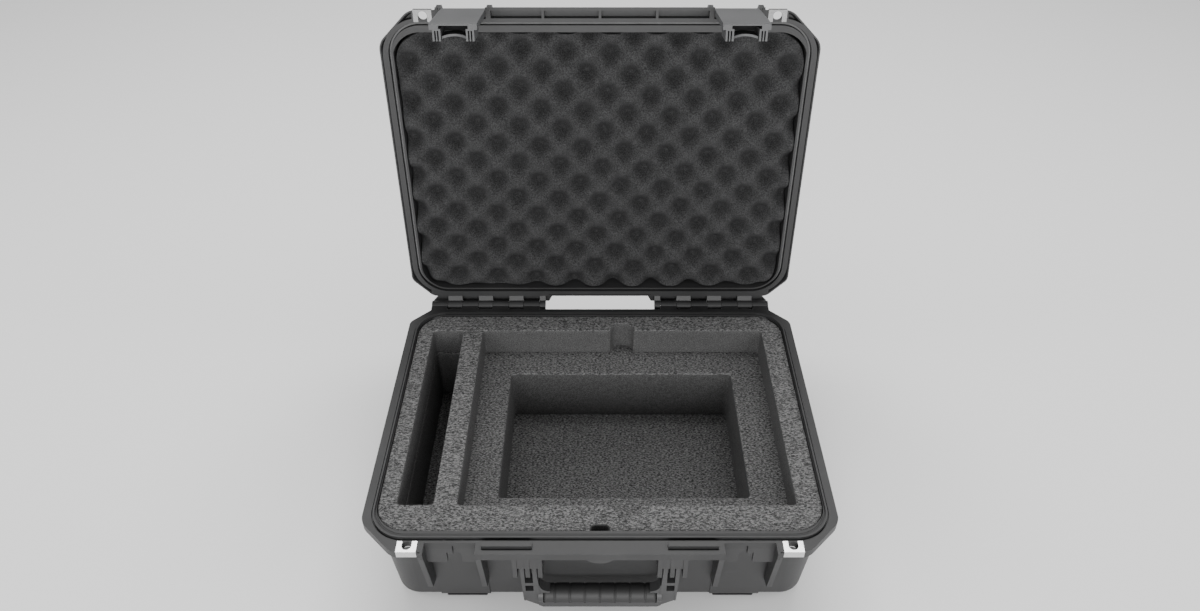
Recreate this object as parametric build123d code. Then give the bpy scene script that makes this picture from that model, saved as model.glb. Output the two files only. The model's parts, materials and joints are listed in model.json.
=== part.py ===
from build123d import *
import os
from math import cos, sin, tan, radians, sqrt

os.makedirs("parts", exist_ok=True)

# Whole case: X runs left to right, Y from front to back, Z up from the floor
case_width = 520.0
case_depth = 400.0
base_height = 138.0
lid_height = 58.0
parting_gap = 0.4
open_angle = 94.3

# Moulded walls
wall = 4.0
draft = 5.2
body_corner = 40.0
bottom_round = 10.0
side_overhang = 10.0
front_overhang = 23.0
rear_overhang = 9.0
root = 1.0
lip_step = 0.5

# Rim flange
flange_height = 10.0
rim_plate = 4.0
skirt = 4.0
front_chamfer = 39.0
rear_chamfer = 27.0
front_bend = 22.0
rear_bend = 14.0
ledge_step = 3.0
flange_rib = 3.0
flange_rib_pitch = 58.0
tab_radius = 20.0
tab_half_width = 30.0
tab_rise = 4.0
tab_thickness = 3.0

# Flange of the lid: it stops a little short in front, and its outer side leans in
lid_trim = 1.0
lid_edge_lean = 22.0
channel_lip = 1.8
channel_depth = 8.0
channel_play = 2.6
ring_side = 3.0
ring_front = 10.8
ring_rear = 2.7
cell_pitch = 66.0
cell_rib = 3.0

# Sealing tongue on the base, groove and gasket in the lid
tongue_width = 2.0
tongue_height = 3.0
tongue_side_inset = 1.1
tongue_front_inset = 8.6
tongue_rear_inset = 2.3
seal_gap_width = 1.7
seal_gap_depth = 2.5
groove_inner_play = 0.6
groove_outer_play = 0.9
groove_depth = 5.6
groove_lip = 2.3
gasket_height = 1.8
gasket_inner_play = 0.4
gasket_outer_play = 0.2

# Skid bands that wrap round the base and the lid, and the feet under them
rail_height = 4.5
band_inset = 75.0
band_width = 57.0
band_proud = 1.5
foot_inset = 81.5
foot_width = 47.2
foot_height = 9.0
foot_slant = 3.2
lid_band_height = 3.0

# Hinge
hinge_reach = 13.2
hinge_drop = 3.9
hinge_end_inset = 24.6
barrel_radius = 6.5
hinge_pin_radius = 2.0
knuckle_pitch = 42.8
knuckle_width = 22.0
knuckle_count = 4
knuckle_gap = 0.5
end_knuckle = 8.5
knuckle_rise = 1.2
hood_thickness = 3.0
hood_reach = 4.6
hood_inner_slant = 11.0
hood_outer_slant = 19.0
arm_front_angle = 153.0
arm_rear_angle = 29.0

# Running and seated fits, radial
running_fit = 0.07
seat_fit = 0.03

# Latch zone
latch_inset = 101.5
latch_width = 52.0
latch_side_gap = 0.6
latch_outer_gap = 5.5
latch_inner_gap = 3.3
fin_thickness = 5.8
fin_length = 85.0
fin_root_drop = 93.0
fin_nose = 6.0
fin_front_slope = 17.0
fin_tip_round = 5.0
catch_setback = 11.5
catch_thickness = 4.0
catch_drop = 34.0
catch_web = 2.8
catch_web_rise = 8.0
outer_catch_width = 22.0
inner_catch_width = 16.7
inner_catch_top = 23.1
catch_step_drop = 15.0
catch_bridge_drop = 17.0
catch_tab_width = 5.9
catch_tab_offset = 2.6
catch_tab_top = 5.5
catch_tab_drop = 20.0

# Latch, measured from its pivot: out from the case and down along the cover
latch_pivot_setback = 12.0
latch_pivot_rise = 22.0
latch_pin_radius = 2.0
latch_lean = 7.0
latch_eye_radius = 5.0
cover_outer = 8.0
cover_thickness = 2.5
cover_length = 100.0
cover_flat_start = 11.0
cover_edge = 1.2
side_wall_inner = 1.0
side_web = 3.5
shoulder_width = 10.0
shoulder_start = 62.0
rail_inset = 3.3
rail_width = 9.0
rail_inner = -11.0
rail_nose = 5.0
rail_slot = 1.6
trigger_pin_out = 3.15
trigger_pin_down = 24.0
trigger_pin_radius = 1.1
trigger_eye_radius = 2.1
trigger_in = 1.0
trigger_plate = 2.0
trigger_length = 97.0
trigger_side_gap = 0.5
trigger_bend_length = 12.0
hook_tip = -1.1
hook_top = 56.9
hook_height = 4.0
finger_crown = -4.4
finger_plate = 2.6
finger_curve = 40.0
finger_arch_radius = 42.0
finger_arch_rise = 4.0
spring_strip = 0.6
spring_width = 12.0
spring_length = 22.0
spring_foot = 4.0
spring_gap = 0.3

# Fins of the lid beside the latches, measured from the latch pin
lid_fin_front = 10.6
lid_fin_nose_rise = 7.0
lid_fin_top_rise = 26.0
lid_fin_round = 4.0

# Padlock holes and their bent steel plates
padlock_inset = 55.0
padlock_setback = 8.0
padlock_radius = 5.25
padlock_plate = 1.2
padlock_plate_width = 21.4
padlock_plate_depth = 14.0
padlock_plate_height = 9.0
plate_seat = 2.0
lid_padlock_height = 4.5

# Bars on the base's front shelf that enter the channel of the lid
bar_start_gap = 4.5
bar_end_gap = 0.8
bar_front = 4.4
bar_rear_gap = 0.5
bar_height = 4.0
bar_groove = 1.8
bar_groove_depth = 1.5

# Handle
fork_start = 61.9
fork_pitch = 6.8
fork_gap = 2.0
fork_boss_radius = 4.0
fork_boss_play = 0.3
handle_pivot_setback = 9.0
handle_pivot_drop = 35.0
handle_pin_radius = 2.0
fork_radius = 6.0
lug_setback = 1.0
lug_length = 36.0
lug_toe = 4.0
lug_root_rise = 12.0
web_length = 18.5
web_thickness = 3.5
web_setback = 1.0
handle_drop = 107.0
handle_shoulder_drop = 94.0
handle_foot_half = 64.0
handle_taper = 2.0
arm_depth = 13.0
fork_window = 26.0
cross_bar = 5.0
second_window = 10.0
bar_foot = 9.0
grip_radius = 11.0
grip_core = 5.0
grip_rise = 17.0
grip_setback = 1.0
grip_half = 63.0
grip_end_round = 3.5
grip_corner = 11.0
grip_corner_depth = 12.0
grip_corner_root = 1.2
grip_fit = 0.4
collar_step = 0.8
core_reach = 6.0
panel_step = 0.7
panel_drop = 5.0

# Pressure valve
valve_drop = 22.0
valve_cap_radius = 10.0
valve_cap_height = 7.5
valve_boss_radius = 13.0
valve_boss_proud = 3.5
valve_seat_proud = 1.5
valve_seat_radius = 9.5
valve_stem_radius = 5.0
valve_nut_width = 16.0
valve_nut_height = 4.0
valve_slot_count = 6
valve_slot_radius = 1.2
oring_radius = 7.5
oring_wire = 1.15
oring_play = 0.05

# Foam in the base
foam_gap = 0.4
foam_floor_gap = 0.3
foam_top_drop = 1.0
pad_thickness = 8.2
ledge_drop = 42.0
pocket_side_margin = 25.1
pocket_width = 39.8
pocket_rib = 27.0
pocket_front_margin = 40.9
pocket_rear_margin = 35.4
laptop_side_margin = 32.0
laptop_front_margin = 40.4
laptop_rear_margin = 35.4
ledge_left = 39.0
ledge_right = 42.0
ledge_front_width = 42.5
ledge_rear_width = 42.0
thumb_radius = 15.6
valve_notch_width = 20.0
valve_notch_depth = 9.0

# Convoluted foam in the lid
crate_pitch_x = 53.4
crate_pitch_y = 50.2
crate_turn = 3.7
crate_start_x = 4.4
crate_start_y = -26.5
crate_base = 26.0
crate_tip_gap = 1.2
crate_foot_radius = 17.4
crate_tip_radius = 7.0

# Places that follow from the sizes above
rim = base_height
lid_rim = base_height + parting_gap
flange_bottom = rim - flange_height
half_width = case_width / 2
half_depth = case_depth / 2
ledge_front = -half_depth - ledge_step
body_half = half_width - side_overhang
body_front = -half_depth + front_overhang
body_rear = half_depth - rear_overhang
slope = tan(radians(draft))
floor_top = rail_height + wall
cavity_depth = rim - floor_top
cavity_front = body_front + wall
cavity_rear = body_rear - wall
lid_top = lid_rim + lid_height
lid_edge_back = flange_height * tan(radians(lid_edge_lean))
band_outer = half_width - band_inset
band_inner = band_outer - band_width
foot_outer = half_width - foot_inset
foot_inner = foot_outer - foot_width
hinge_y = half_depth + hinge_reach
hinge_z = rim - hinge_drop
hinge_end = half_width - hinge_end_inset
hinge_start = hinge_end - knuckle_width - (knuckle_count - 1) * knuckle_pitch
latch_centre = half_width - latch_inset
latch_inner = latch_centre - latch_width / 2
latch_outer = latch_centre + latch_width / 2
lid_fin_inner = latch_inner - latch_side_gap - fin_thickness / 2
lid_fin_outer = latch_outer + latch_side_gap + fin_thickness / 2
base_fin_inner = latch_inner - latch_inner_gap
base_fin_outer = latch_outer + latch_outer_gap
catch_zone_inner = base_fin_inner + fin_thickness / 2
catch_zone_outer = base_fin_outer - fin_thickness / 2
catch_front = half_depth - catch_setback
latch_pivot_y = -half_depth + latch_pivot_setback
latch_pivot_z = rim + latch_pivot_rise
padlock_x = half_width - padlock_inset
padlock_y = -half_depth + padlock_setback
bar_front_y = -half_depth + bar_front
bar_inner = cell_pitch + cell_rib / 2 + bar_start_gap
cell_outer = base_fin_inner - fin_thickness / 2
bar_outer = cell_outer - bar_end_gap
lug_front = half_depth + ledge_step - lug_setback
handle_pivot_y = -half_depth + handle_pivot_setback
handle_pivot_z = rim - handle_pivot_drop
fork_leaf = fork_pitch - fork_gap
arm_inner = fork_start + fork_pitch
arm_outer = arm_inner + 2 * fork_pitch + fork_leaf
fork_end = fork_start + 4 * fork_pitch + fork_leaf
handle_foot_z = rim - handle_drop
grip_y = handle_pivot_y + grip_setback
grip_z = handle_foot_z + grip_rise
foam_top = rim - foam_top_drop
ledge_z = rim - ledge_drop
pad_bottom = floor_top + foam_floor_gap
pad_top = pad_bottom + pad_thickness
pocket_x_min = -body_half + pocket_side_margin
pocket_x_max = pocket_x_min + pocket_width
pocket_y_min = body_front + pocket_front_margin
pocket_y_max = body_rear - pocket_rear_margin
laptop_x_min = pocket_x_max + pocket_rib
laptop_x_max = body_half - laptop_side_margin
laptop_y_min = body_front + laptop_front_margin
laptop_y_max = body_rear - laptop_rear_margin
deep_x_min = laptop_x_min + ledge_left
deep_x_max = laptop_x_max - ledge_right
deep_y_min = laptop_y_min + ledge_front_width
deep_y_max = laptop_y_max - ledge_rear_width
thumb_x = (laptop_x_min + laptop_x_max) / 2
valve_z = rim - valve_drop


def opened_place(y, z):
    """Where a point of the closed lid lies once the lid stands open."""
    turn = radians(-open_angle)
    out = y - hinge_y
    up = z - hinge_z
    return hinge_y + out * cos(turn) - up * sin(turn), hinge_z + out * sin(turn) + up * cos(turn)


lid_front_at_top = body_front + lid_height * slope
rear_reach = opened_place(lid_front_at_top, lid_top + lid_band_height)[0]
origin_y = (ledge_front + rear_reach) / 2


def block(x_min, x_max, y_min, y_max, z_min, z_max):
    """A box between two corners."""
    middle = Pos((x_min + x_max) / 2, (y_min + y_max) / 2, (z_min + z_max) / 2)
    return middle * Box(x_max - x_min, y_max - y_min, z_max - z_min)


def side_plate(points, x_middle, thickness):
    """A flat plate drawn in the side view and centred on x_middle."""
    face = Plane.YZ.offset(x_middle - thickness / 2) * Polygon(*points, align=None)
    return extrude(face, amount=thickness, dir=(1, 0, 0))


def rod(x_min, x_max, y, z, radius):
    """A round bar along X."""
    return Pos((x_min + x_max) / 2, y, z) * Rot(Y=90) * Cylinder(radius, x_max - x_min)


def post(x, y, z_min, z_max, radius):
    """A round bar along Z."""
    return Pos(x, y, (z_min + z_max) / 2) * Cylinder(radius, z_max - z_min)


def both_sides(piece):
    """A piece on the right together with its mirror image on the left."""
    return piece + mirror(piece, about=Plane.YZ)


def on_side(side, piece):
    """A right-hand piece, or its mirror image on the left."""
    return piece if side > 0 else mirror(piece, about=Plane.YZ)


def opened(piece):
    """Turns a piece of the closed lid about the hinge to its open place."""
    return piece.rotate(Axis((0, hinge_y, hinge_z), (1, 0, 0)), -open_angle)


def rounded_outline(half_x, front, rear, corner, z):
    """A rectangle with round corners, seen from above."""
    return Pos(0, (front + rear) / 2, z) * RectangleRounded(2 * half_x, rear - front, corner)


def body_outline(grow, z):
    """The wall's outline at the rim, moved outwards by grow."""
    return rounded_outline(body_half + grow, body_front - grow, body_rear + grow, body_corner + grow, z)


def tub(grow, z_rim, height, upwards, edge_round):
    """A drafted box that narrows away from the rim, with a round far edge."""
    way = 1 if upwards else -1
    body = extrude(body_outline(grow, z_rim), amount=height, dir=(0, 0, way), taper=draft)
    if edge_round > 0:
        far_face = body.faces().sort_by(Axis.Z)[-1 if upwards else 0]
        body = fillet(far_face.edges(), edge_round)
    return body


def flange_corners(trim):
    """The rim flange from above without its front ledge, with cut corners."""
    front = -half_depth + trim
    right = [
        (half_width - front_chamfer, front),
        (half_width, front + front_chamfer),
        (half_width, half_depth - rear_chamfer),
        (half_width - rear_chamfer, half_depth),
    ]
    left = [(-x, y) for x, y in reversed(right)]
    plate = make_face(Polyline(*right, *left, close=True))
    plate = fillet(plate.vertices().filter_by(lambda v: v.Y < 0), front_bend)
    return fillet(plate.vertices().filter_by(lambda v: v.Y > half_depth / 2), rear_bend)


def latch_notch(way):
    """The part of the flange that a latch needs free, from above."""
    middle = way * (catch_zone_inner + catch_zone_outer) / 2
    reach = front_overhang + ledge_step
    notch = Rectangle(catch_zone_outer - catch_zone_inner, reach)
    return Pos(middle, -catch_front - reach / 2) * notch


def flange_outline(trim):
    """The rim flange from above with its proud front ledge and the latch cut-outs."""
    front = ledge_front + trim
    plate = flange_corners(trim) + Pos(0, front / 2) * Rectangle(2 * base_fin_outer, -front)
    return plate - latch_notch(1) - latch_notch(-1)


def base_flange():
    """The base's rim flange, and the ribbed hollow in its underside."""
    outline = flange_outline(0)
    ring = extrude(Pos(0, 0, flange_bottom) * outline, amount=flange_height)
    z_top = rim - rim_plate
    inner = offset(outline, amount=-skirt, kind=Kind.INTERSECTION)
    around = inner - body_outline(skirt, 0)
    hollow = extrude(Pos(0, 0, flange_bottom) * around, amount=flange_height - rim_plate)
    edge = flange_rib / 2
    count = int(half_width // flange_rib_pitch)
    for i in range(-count, count + 1):
        x = i * flange_rib_pitch
        hollow -= block(x - edge, x + edge, -case_depth, case_depth, flange_bottom, z_top)
    count = int(half_depth // flange_rib_pitch)
    for i in range(-count, count + 1):
        y = i * flange_rib_pitch
        hollow -= block(-case_width, case_width, y - edge, y + edge, flange_bottom, z_top)
    return ring, hollow


def lid_flange():
    """The lid's rim flange, whose outer side leans in, with a pointed channel along the rim."""
    ring = extrude(Pos(0, 0, lid_rim) * flange_corners(lid_trim), amount=flange_height, taper=lid_edge_lean)
    front = ledge_front + lid_trim
    ledge = [
        (front, lid_rim),
        (front + lid_edge_back, lid_rim + flange_height),
        (body_front, lid_rim + flange_height),
        (body_front, lid_rim),
    ]
    ring += side_plate(ledge, 0, 2 * base_fin_outer)
    for way in (-1, 1):
        ring -= extrude(Pos(0, 0, lid_rim) * latch_notch(way), amount=flange_height)
    lip = offset(flange_corners(lid_trim), amount=-channel_lip, kind=Kind.INTERSECTION)
    core = rounded_outline(
        half_width - ring_side,
        -half_depth + ring_front,
        half_depth - ring_rear,
        body_corner + side_overhang - ring_side,
        0,
    )
    channel = extrude(Pos(0, 0, lid_rim) * lip, amount=channel_depth, taper=lid_edge_lean)
    channel -= extrude(Pos(0, 0, lid_rim) * core, amount=channel_depth)
    plate_zone = padlock_x + padlock_plate_width / 2 + plate_seat
    hinge_zone = hinge_start - end_knuckle - hood_reach
    z_top = lid_rim + channel_depth
    channel -= block(-plate_zone, plate_zone, ledge_front, 0, lid_rim, z_top)
    channel -= both_sides(block(hinge_zone, hinge_end, 0, case_depth, lid_rim, z_top))
    return ring - channel


def seal_band(inner_grow, outer_grow, z):
    """The band of the sealing tongue from above, with its sides moved apart."""
    cavity_half = body_half - wall
    corner = body_corner - wall + tongue_side_inset
    inner = rounded_outline(
        cavity_half + tongue_side_inset - inner_grow,
        cavity_front - tongue_front_inset + inner_grow,
        cavity_rear + tongue_rear_inset - inner_grow,
        corner - inner_grow,
        z,
    )
    reach = tongue_width + outer_grow
    outer = rounded_outline(
        cavity_half + tongue_side_inset + reach,
        cavity_front - tongue_front_inset - reach,
        cavity_rear + tongue_rear_inset + reach,
        corner + reach,
        z,
    )
    return outer - inner


def along_depth(points):
    """A bar along Y through the whole case, drawn in the front view."""
    face = Plane.XZ.offset(-case_depth) * Polygon(*points, align=None)
    return extrude(face, amount=2 * case_depth, dir=(0, -1, 0))


def base_bands():
    """Two bands that stand proud of the base's walls, and the slanted feet under them."""
    band = tub(band_proud, rim - root, rim - root - rail_height, False, bottom_round)
    band = band & block(band_inner, band_outer, -case_depth, case_depth, 0, rim)
    foot = tub(band_proud, rim - root, rim - root, False, bottom_round)
    points = [
        (foot_inner, foot_height),
        (foot_inner + foot_slant, 0),
        (foot_outer - foot_slant, 0),
        (foot_outer, foot_height),
    ]
    return both_sides(band + (foot & along_depth(points)))


def lid_bands():
    """The same bands on the lid."""
    blank = tub(band_proud, lid_rim + root, lid_height + lid_band_height - root, True, bottom_round)
    z_far = lid_top + lid_band_height
    points = [
        (band_inner, lid_rim),
        (band_inner, z_far - lid_band_height),
        (band_inner + lid_band_height, z_far),
        (band_outer - lid_band_height, z_far),
        (band_outer, z_far - lid_band_height),
        (band_outer, lid_rim),
    ]
    return both_sides(blank & along_depth(points))


def padlock_plate_block(z_rim, height, upwards):
    """The space that a padlock plate takes round the flange lip."""
    x_min = padlock_x - padlock_plate_width / 2
    x_max = padlock_x + padlock_plate_width / 2
    z_far = z_rim + height if upwards else z_rim - height
    y_front = -half_depth + (lid_trim if upwards else 0)
    y_rear = y_front + padlock_plate_depth
    return block(x_min, x_max, y_front, y_rear, min(z_rim, z_far), max(z_rim, z_far))


def padlock_plates(z_rim, height, upwards):
    """The steel plate bent round the flange lip, its hole open to the rear on the rim side."""
    outer = padlock_plate_block(z_rim, height, upwards)
    corner = outer.bounding_box()
    core = block(
        corner.min.X,
        corner.max.X,
        corner.min.Y + padlock_plate,
        corner.max.Y,
        corner.min.Z + padlock_plate,
        corner.max.Z - padlock_plate,
    )
    hole = post(padlock_x, padlock_y, corner.min.Z, corner.max.Z, padlock_radius)
    z_sheet = z_rim if upwards else z_rim - padlock_plate
    slot = block(
        padlock_x - padlock_radius,
        padlock_x + padlock_radius,
        padlock_y,
        corner.max.Y,
        z_sheet,
        z_sheet + padlock_plate,
    )
    return outer - core - hole - slot


def padlock_relief(z_rim, height, upwards):
    """What is cut from the flange over a padlock plate, so that its far sheet lies open."""
    space = padlock_plate_block(z_rim, height, upwards)
    corner = space.bounding_box()
    z_far = corner.max.Z if upwards else corner.min.Z
    z_end = z_rim + flange_height + root if upwards else z_rim - flange_height - root
    return block(
        corner.min.X,
        corner.max.X,
        ledge_front,
        corner.max.Y,
        min(z_far, z_end),
        max(z_far, z_end),
    )


def padlock_corner():
    """The solid corner of the base's flange that carries a padlock plate."""
    side = padlock_plate_width / 2 + skirt
    corner = block(padlock_x - side, padlock_x + side, -half_depth, body_front, flange_bottom, rim)
    return corner & extrude(Pos(0, 0, flange_bottom) * flange_outline(0), amount=flange_height)


def base_knuckles():
    """Hinge knuckles on the base, reaching back from the flange."""
    knuckles = None
    for i in range(knuckle_count):
        x_min = hinge_start + i * knuckle_pitch
        x_max = x_min + knuckle_width
        arm = block(x_min, x_max, half_depth - skirt, hinge_y, flange_bottom + lip_step, rim - lip_step)
        knuckle = arm + rod(x_min, x_max, hinge_y, hinge_z, barrel_radius)
        knuckles = knuckle if knuckles is None else knuckles + knuckle
    return knuckles


def on_barrel(angle):
    """A point on a knuckle's barrel, in the side view."""
    turn = radians(angle)
    return hinge_y + barrel_radius * cos(turn), hinge_z + barrel_radius * sin(turn)


def lid_knuckle(x_min, x_max):
    """One hinge knuckle of the lid, drawn with the lid closed."""
    flange_top = lid_rim + flange_height
    arm = [
        (half_depth - 2 * skirt, flange_top),
        (half_depth - 2 * skirt, lid_rim + knuckle_rise),
        (half_depth, lid_rim + knuckle_rise),
        on_barrel(arm_front_angle),
        (hinge_y, hinge_z),
        on_barrel(arm_rear_angle),
        (hinge_y, flange_top),
    ]
    plate = side_plate(arm, (x_min + x_max) / 2, x_max - x_min)
    return plate + rod(x_min, x_max, hinge_y, hinge_z, barrel_radius)


def hinge_hood():
    """The slanted plate over the knuckles, on the outer side of the lid."""
    z_top = lid_rim + flange_height
    inner = hinge_start - end_knuckle - hood_reach
    points = [
        (inner - hood_inner_slant, half_depth - 2 * skirt),
        (hinge_end - hood_outer_slant, half_depth - 2 * skirt),
        (hinge_end, hinge_y),
        (inner, hinge_y),
    ]
    return extrude(Pos(0, 0, z_top - hood_thickness) * Polygon(*points, align=None), amount=hood_thickness)


def lid_knuckles():
    """Lid knuckles between those of the base, and a short slanted one at the inner end."""
    knuckles = lid_knuckle(hinge_start - end_knuckle, hinge_start - knuckle_gap)
    for i in range(knuckle_count - 1):
        x_min = hinge_start + i * knuckle_pitch + knuckle_width + knuckle_gap
        x_max = hinge_start + (i + 1) * knuckle_pitch - knuckle_gap
        knuckles += lid_knuckle(x_min, x_max)
    return knuckles + hinge_hood()


def guard_fin(x_middle):
    """A guard fin of the base, beside a latch."""
    points = [
        (ledge_front, rim - root),
        (ledge_front, rim - fin_nose),
        (ledge_front + fin_front_slope, rim - fin_length),
        (body_front + 2 * wall, rim - fin_root_drop),
        (body_front + 2 * wall, rim - root),
    ]
    fin = side_plate(points, x_middle, fin_thickness)
    tip = fin.edges().filter_by(Axis.X).sort_by(Axis.Z)[1]
    return fillet(tip, fin_tip_round)


def catch_plates():
    """The two catch plates under a latch cut-out, their webs and the small tab between them."""
    z_low = rim - catch_drop
    z_top = rim - lip_step
    y_front = -catch_front
    y_rear = y_front + catch_thickness
    outer_edge = catch_zone_outer - outer_catch_width
    inner_edge = catch_zone_inner + inner_catch_width
    top_edge = catch_zone_inner + inner_catch_top
    plates = block(outer_edge, catch_zone_outer + root, y_front, y_rear, z_low, z_top)
    plates += block(catch_zone_inner - root, inner_edge, y_front, y_rear, z_low, z_top)
    hollow_radius = top_edge - inner_edge
    z_step = rim - catch_step_drop
    shelf = block(inner_edge - root, top_edge, y_front, y_rear, z_step - hollow_radius, z_top)
    round_cut = Pos(top_edge, (y_front + y_rear) / 2, z_step - hollow_radius) * Rot(X=90)
    plates += shelf - round_cut * Cylinder(hollow_radius, 2 * catch_thickness)
    for x in (outer_edge, inner_edge - catch_web):
        y_wall = body_front + 2 * wall
        plates += block(x, x + catch_web, y_rear - root, y_wall, z_low + catch_web_rise, z_top)
    tab_inner = latch_centre + catch_tab_offset - catch_tab_width / 2
    tab_outer = tab_inner + catch_tab_width
    z_tab = rim - catch_tab_top
    plates += block(tab_inner, tab_outer, y_front, y_rear + root, rim - catch_tab_drop, z_tab)
    plates += block(tab_outer - root, outer_edge + root, y_front, y_rear, rim - catch_bridge_drop, z_tab)
    return plates


def catch_pocket():
    """The hollow in the flange between two catch plates, round the small tab."""
    outer_edge = catch_zone_outer - outer_catch_width
    top_edge = catch_zone_inner + inner_catch_top
    y_rear = -catch_front + catch_thickness
    z_low = flange_bottom - root
    return block(top_edge, outer_edge, -catch_front - root, y_rear, z_low, rim - catch_tab_top)


def handle_lugs():
    """Three lugs and a front web on each side, hung under the front ledge."""
    z_low = flange_bottom - lug_length
    z_top = flange_bottom + root
    y_wall = body_front + 2 * wall
    points = [
        (-lug_front, z_top),
        (-lug_front, z_low),
        (handle_pivot_y + fork_radius, z_low),
        (y_wall, z_low + lug_root_rise),
        (y_wall, z_top),
    ]
    y_web = -lug_front + web_setback
    lugs = block(fork_start, fork_end, y_web, y_web + web_thickness, flange_bottom - web_length, z_top)
    for i in range(3):
        lug = side_plate(points, fork_start + 2 * i * fork_pitch + fork_leaf / 2, fork_leaf)
        toe = lug.edges().filter_by(Axis.X).sort_by(Axis.Y)[0:2].sort_by(Axis.Z)[0]
        lugs += fillet(toe, lug_toe)
    return lugs


def valve_faces():
    """The outer and inner flat faces that the pressure valve clamps."""
    y_wall = body_front + valve_drop * slope
    return y_wall - valve_boss_proud, y_wall + wall + valve_seat_proud


def valve_boss():
    """The flat boss outside the front wall and the smaller seat inside it."""
    y_out, y_in = valve_faces()
    y_middle = y_out + valve_boss_proud + wall / 2
    boss = Pos(0, (y_out + y_middle) / 2, valve_z) * Rot(X=90) * Cylinder(valve_boss_radius, y_middle - y_out)
    seat = Pos(0, (y_middle + y_in) / 2, valve_z) * Rot(X=90) * Cylinder(valve_seat_radius, y_in - y_middle)
    return boss + seat


def front_tab():
    """The round tab that hangs from the middle of the front ledge."""
    centre = Pos(0, ledge_front + tab_thickness / 2, rim + tab_rise)
    disc = centre * Rot(X=90) * Cylinder(tab_radius, tab_thickness)
    y_rear = ledge_front + tab_thickness
    z_low = rim - tab_radius
    return disc & block(-tab_half_width, tab_half_width, ledge_front, y_rear, z_low, flange_bottom + root)


def shelf_bars():
    """The raised bars on the front shelf, which enter the lid's cells."""
    y_rear = -half_depth + ring_front - bar_rear_gap
    return both_sides(block(bar_inner, bar_outer, bar_front_y, y_rear, rim - root, rim + bar_height))


def shelf_grooves():
    """The narrow grooves in front of the raised bars."""
    y_front = bar_front_y - bar_groove
    return both_sides(block(bar_inner, bar_outer, y_front, bar_front_y, rim - bar_groove_depth, rim))


def base_outside():
    """The base's walls, bottom, bands and valve boss as one solid block."""
    return tub(0, rim, rim - rail_height, False, bottom_round) + base_bands() + valve_boss()


def base_moulding():
    """The whole moulded base."""
    ring, hollow = base_flange()
    shell = base_outside() + ring - hollow
    shell += both_sides(padlock_corner())
    shell -= both_sides(catch_pocket())
    shell -= extrude(seal_band(0, seal_gap_width, rim - seal_gap_depth), amount=seal_gap_depth)
    shell += extrude(seal_band(0, 0, rim - seal_gap_depth), amount=seal_gap_depth + tongue_height)
    shell += both_sides(guard_fin(base_fin_inner) + guard_fin(base_fin_outer))
    shell += both_sides(catch_plates())
    shell += both_sides(handle_lugs())
    shell += both_sides(base_knuckles())
    shell += front_tab()
    shell += shelf_bars()
    shell -= shelf_grooves()
    y_out, y_in = valve_faces()
    seat = valve_boss()
    shell -= tub(-wall, rim, cavity_depth, False, bottom_round - wall / 2) - seat
    shell -= Pos(0, (y_out + y_in) / 2, valve_z) * Rot(X=90) * Cylinder(
        valve_stem_radius + running_fit, y_in - y_out
    )
    hinge_hole = rod(hinge_start - root, hinge_end + root, hinge_y, hinge_z, hinge_pin_radius + seat_fit)
    shell -= both_sides(hinge_hole)
    handle_hole = rod(
        fork_start - root,
        fork_end + root,
        handle_pivot_y,
        handle_pivot_z,
        handle_pin_radius + seat_fit,
    )
    shell -= both_sides(handle_hole)
    shell -= both_sides(padlock_plates(rim, padlock_plate_height, False))
    shell -= both_sides(padlock_relief(rim, padlock_plate_height, False))
    shell -= both_sides(post(padlock_x, padlock_y, flange_bottom, rim, padlock_radius))
    return shell


def base_parts():
    """The moulding in three: the tub, the rim with its knuckles, and what hangs under the front ledge."""
    moulding = base_moulding()
    tub_zone = base_outside() & block(-half_width, half_width, -half_depth, half_depth, 0, flange_bottom)
    hung_zone = block(-half_width, half_width, -case_depth, 0, 0, flange_bottom)
    outer = moulding - tub_zone
    return {
        "base_tub": moulding & tub_zone,
        "base_rim": outer - hung_zone,
        "base_fittings": outer & hung_zone,
    }


def hinge_pin():
    """A steel pin through one hinge."""
    start = hinge_start - end_knuckle + root
    return rod(start, hinge_end, hinge_y, hinge_z, hinge_pin_radius)


def handle_pin():
    """A steel pin through the three lugs of one side."""
    return rod(fork_start, fork_end, handle_pivot_y, handle_pivot_z, handle_pin_radius)


def foam_blank():
    """The space that the base foam fills, a little inside the walls."""
    depth = foam_top - pad_bottom
    blank = tub(-wall - foam_gap, rim, rim - pad_bottom, False, bottom_round)
    return blank & block(-half_width, half_width, -half_depth, half_depth, pad_bottom, pad_bottom + depth)


def foam_layer(z_min, z_max):
    """A slice of the base foam."""
    return foam_blank() & block(-half_width, half_width, -half_depth, half_depth, z_min, z_max)


def accessory_pocket():
    """The narrow pocket on the left, as the space it takes out of the foam."""
    return block(pocket_x_min, pocket_x_max, pocket_y_min, pocket_y_max, pad_top, rim)


def foam_ledge_frame():
    """The foam under the laptop, with the deep recess and the accessory pocket."""
    frame = foam_layer(pad_top, ledge_z)
    frame -= block(deep_x_min, deep_x_max, deep_y_min, deep_y_max, pad_top, ledge_z)
    return frame - accessory_pocket()


def foam_top_frame():
    """The foam round the laptop, with thumb notches and a relief for the valve nut."""
    frame = foam_layer(ledge_z, foam_top)
    frame -= block(laptop_x_min, laptop_x_max, laptop_y_min, laptop_y_max, ledge_z, rim)
    for y in (laptop_y_min, laptop_y_max):
        frame -= post(thumb_x, y, ledge_z, rim, thumb_radius)
    frame -= accessory_pocket()
    notch_rear = body_front + wall + foam_gap + valve_notch_depth
    half_notch = valve_notch_width / 2
    frame -= block(-half_notch, half_notch, body_front, notch_rear, valve_z - half_notch, rim)
    return frame


def valve_turn(y, z, piece):
    """Lays a piece turned about Z onto the valve's axis, growing towards the front."""
    return Pos(0, y, z) * Rot(X=90) * piece


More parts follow.
